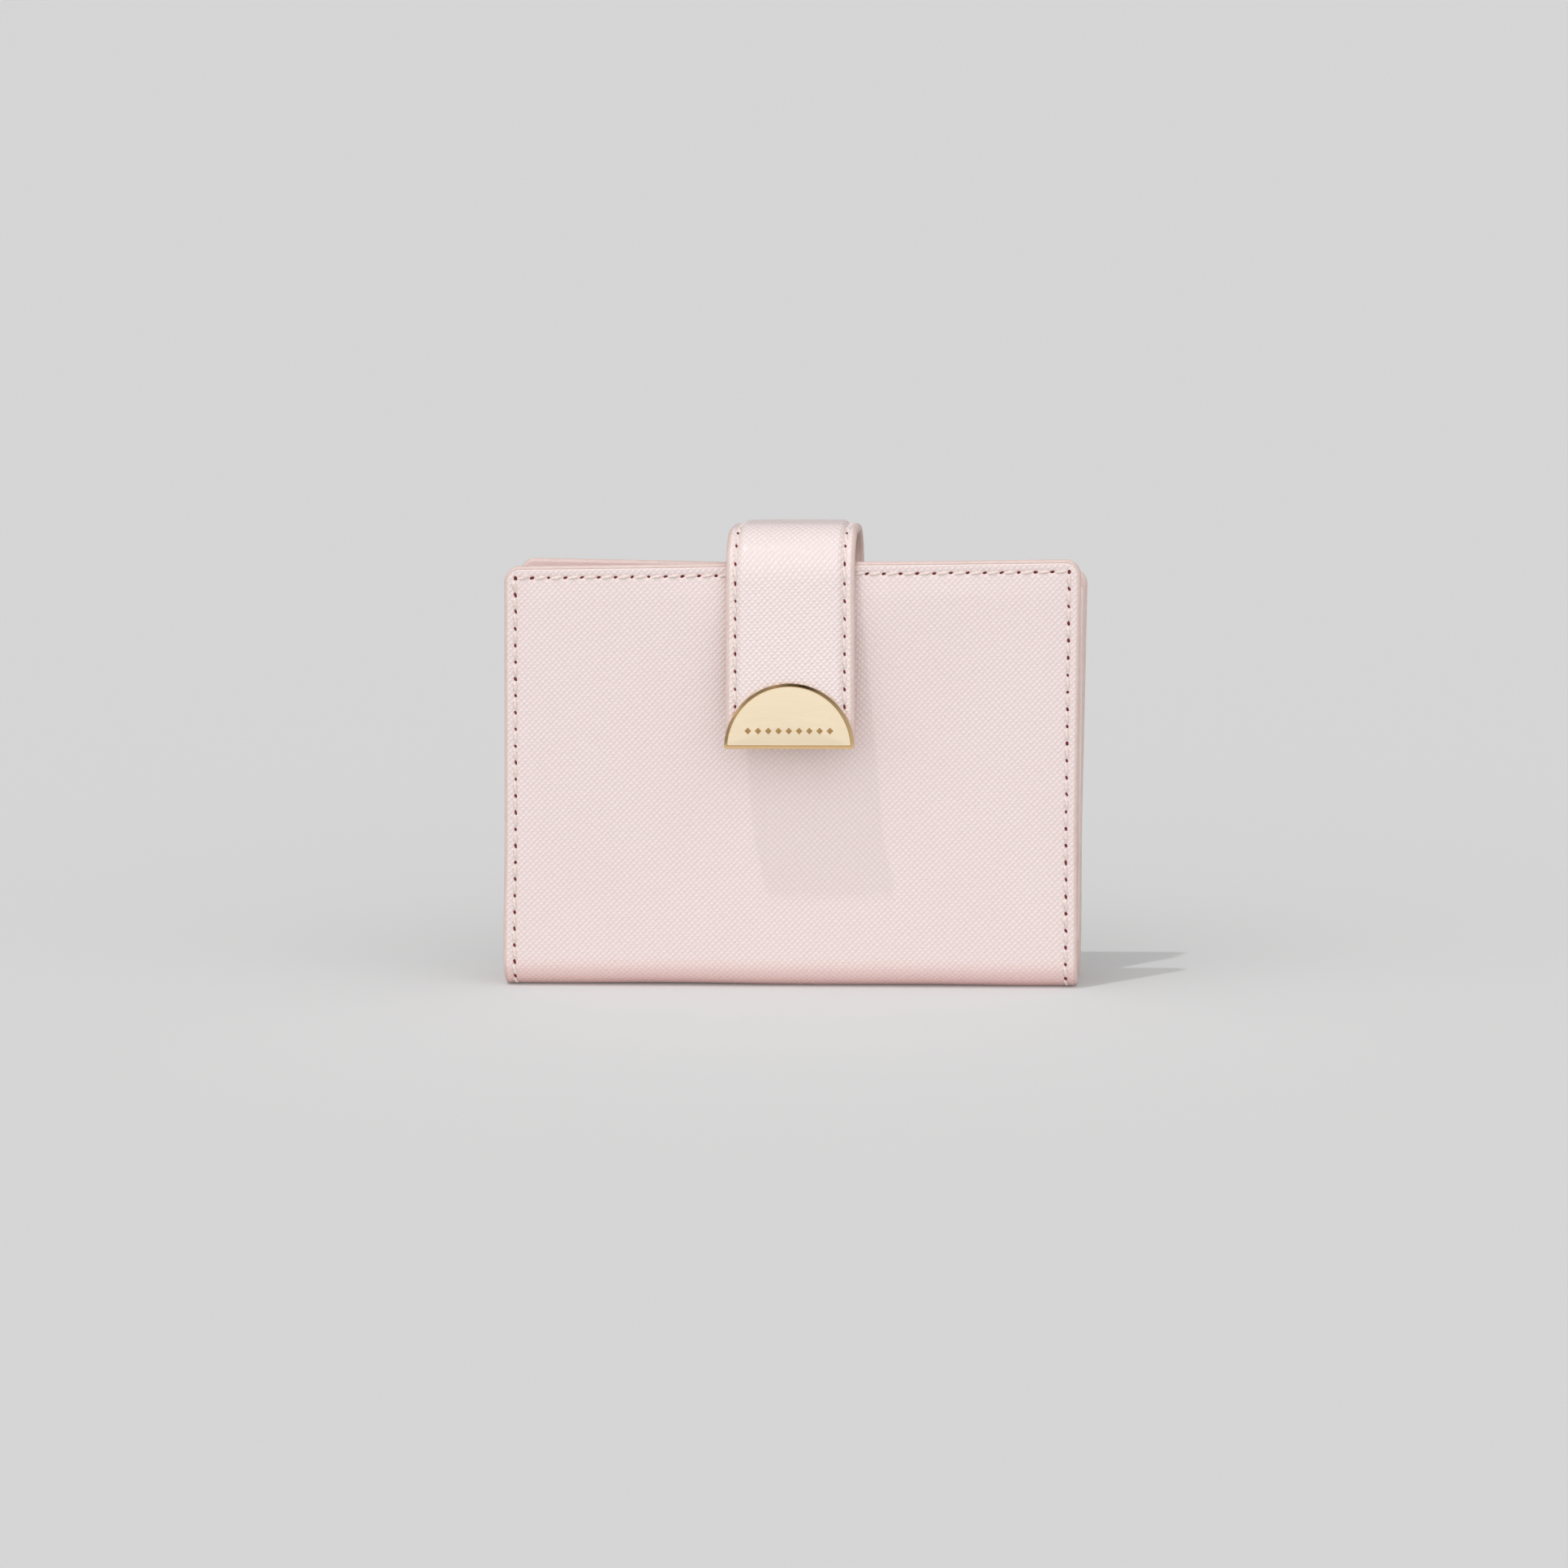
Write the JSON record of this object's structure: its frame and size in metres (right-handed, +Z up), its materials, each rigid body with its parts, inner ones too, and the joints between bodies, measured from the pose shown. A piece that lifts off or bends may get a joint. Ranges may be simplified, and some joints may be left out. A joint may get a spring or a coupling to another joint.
{
  "type": "compact bifold wallet with closure strap",
  "caption": "Compact bifold wallet in cross-hatched leather, held shut by a snap strap that ends in a half-moon metal plate, with card slots, a banknote pocket and a zipped coin pocket.",
  "frame": {"origin": "centre of the flat underside of the spine, on which the closed wallet stands", "axes": "+X along the fold to the right as seen from the front, +Y from the front cover to the back cover, +Z up from the fold to the strap"},
  "size_m": [0.11, 0.0317, 0.0889],
  "materials": {
    "cover_leather": "cross-hatched coated leather, satin",
    "lining_leather": "smooth lining leather, matt",
    "crease_leather": "cross-hatched coated leather, satin",
    "board": "plain stiffening board",
    "pad_foam": "thin foam padding",
    "thread": "waxed polyester thread",
    "zip_tape": "woven tape",
    "gold_metal": "satin gold plate",
    "snap_metal": "polished gold plate"
  },
  "bodies": {
    "spine": {"spine_leather": "cover_leather", "spine_board": "board", "spine_lining": "lining_leather", "back_crease_leather": "crease_leather", "back_crease_lining": "lining_leather", "front_crease_leather": "crease_leather", "front_crease_lining": "lining_leather"},
    "back_half": {"back_cover_leather": "cover_leather", "back_cover_board": "board", "back_cover_lining": "lining_leather", "back_cover_thread": "thread", "bill_divider": "lining_leather", "coin_back_wall": "lining_leather", "coin_front_wall": "lining_leather", "coin_gusset": "lining_leather", "zip_tape_back": "zip_tape", "zip_tape_front": "zip_tape", "zip_teeth_back": "gold_metal", "zip_teeth_front": "gold_metal", "zip_stops": "gold_metal", "back_card_slot_1": "lining_leather", "back_card_slot_2": "lining_leather", "back_card_slot_3": "lining_leather", "strap_root_leather": "cover_leather", "strap_root_filler": "pad_foam", "strap_root_lining": "lining_leather", "strap_root_thread": "thread"},
    "front_half": {"front_cover_leather": "cover_leather", "front_cover_board": "board", "front_cover_lining": "lining_leather", "front_cover_thread": "thread", "front_card_slot_1": "lining_leather", "front_card_slot_2": "lining_leather", "front_card_slot_3": "lining_leather", "front_card_slot_4": "lining_leather", "snap_stud": "snap_metal", "stud_backplate": "snap_metal"},
    "strap_arch": {"strap_arch_leather": "cover_leather", "strap_arch_filler": "pad_foam", "strap_arch_lining": "lining_leather", "strap_arch_thread": "thread"},
    "strap_tab": {"strap_tab_leather": "cover_leather", "strap_tab_filler": "pad_foam", "strap_tab_lining": "lining_leather", "strap_tab_thread": "thread", "half_moon_plate": "gold_metal", "snap_socket": "snap_metal", "snap_rivet": "snap_metal"},
    "zip_slider": {"zip_slider": "gold_metal"},
    "zip_pull": {"zip_pull": "gold_metal"}
  },
  "joints": [
    {"name": "back_fold", "type": "hinge", "parent": "spine", "child": "back_half", "pos_m": [0, 0.005, 0.0045], "axis": [-1, 0, 0], "range_deg": [0, 50], "deforming": ["back_crease_leather", "back_crease_lining"]},
    {"name": "front_fold", "type": "hinge", "parent": "spine", "child": "front_half", "pos_m": [0, -0.005, 0.0045], "axis": [1, 0, 0], "range_deg": [0, 50], "deforming": ["front_crease_leather", "front_crease_lining"]},
    {"name": "strap_lift", "type": "hinge", "parent": "back_half", "child": "strap_arch", "pos_m": [0, 0.00961, 0.08524], "axis": [-1, 0, 0], "range_deg": [0, 220], "deforming": ["strap_arch_leather", "strap_arch_filler", "strap_arch_lining", "strap_arch_thread"]},
    {"name": "tab_lift", "type": "hinge", "parent": "strap_arch", "child": "strap_tab", "pos_m": [0, -0.00868, 0.08495], "axis": [-1, 0, 0], "range_deg": [0, 140], "deforming": ["strap_tab_leather", "strap_tab_filler", "strap_tab_lining", "strap_tab_thread"]},
    {"name": "zip_slide", "type": "slide", "parent": "back_half", "child": "zip_slider", "axis": [-1, 0, 0], "range_m": [0, 0.074]},
    {"name": "pull_turn", "type": "hinge", "parent": "zip_slider", "child": "zip_pull", "pos_m": [0.0385, 0.00354, 0.07103], "axis": [0, 0.9999, -0.0157], "range_deg": [0, 150]}
  ],
  "couplings": [
    {"joint": "front_fold", "follows": "back_fold", "ratio": 1},
    {"joint": "strap_lift", "follows": "back_fold", "ratio": 4.3999},
    {"joint": "tab_lift", "follows": "back_fold", "ratio": 2.7999}
  ]
}
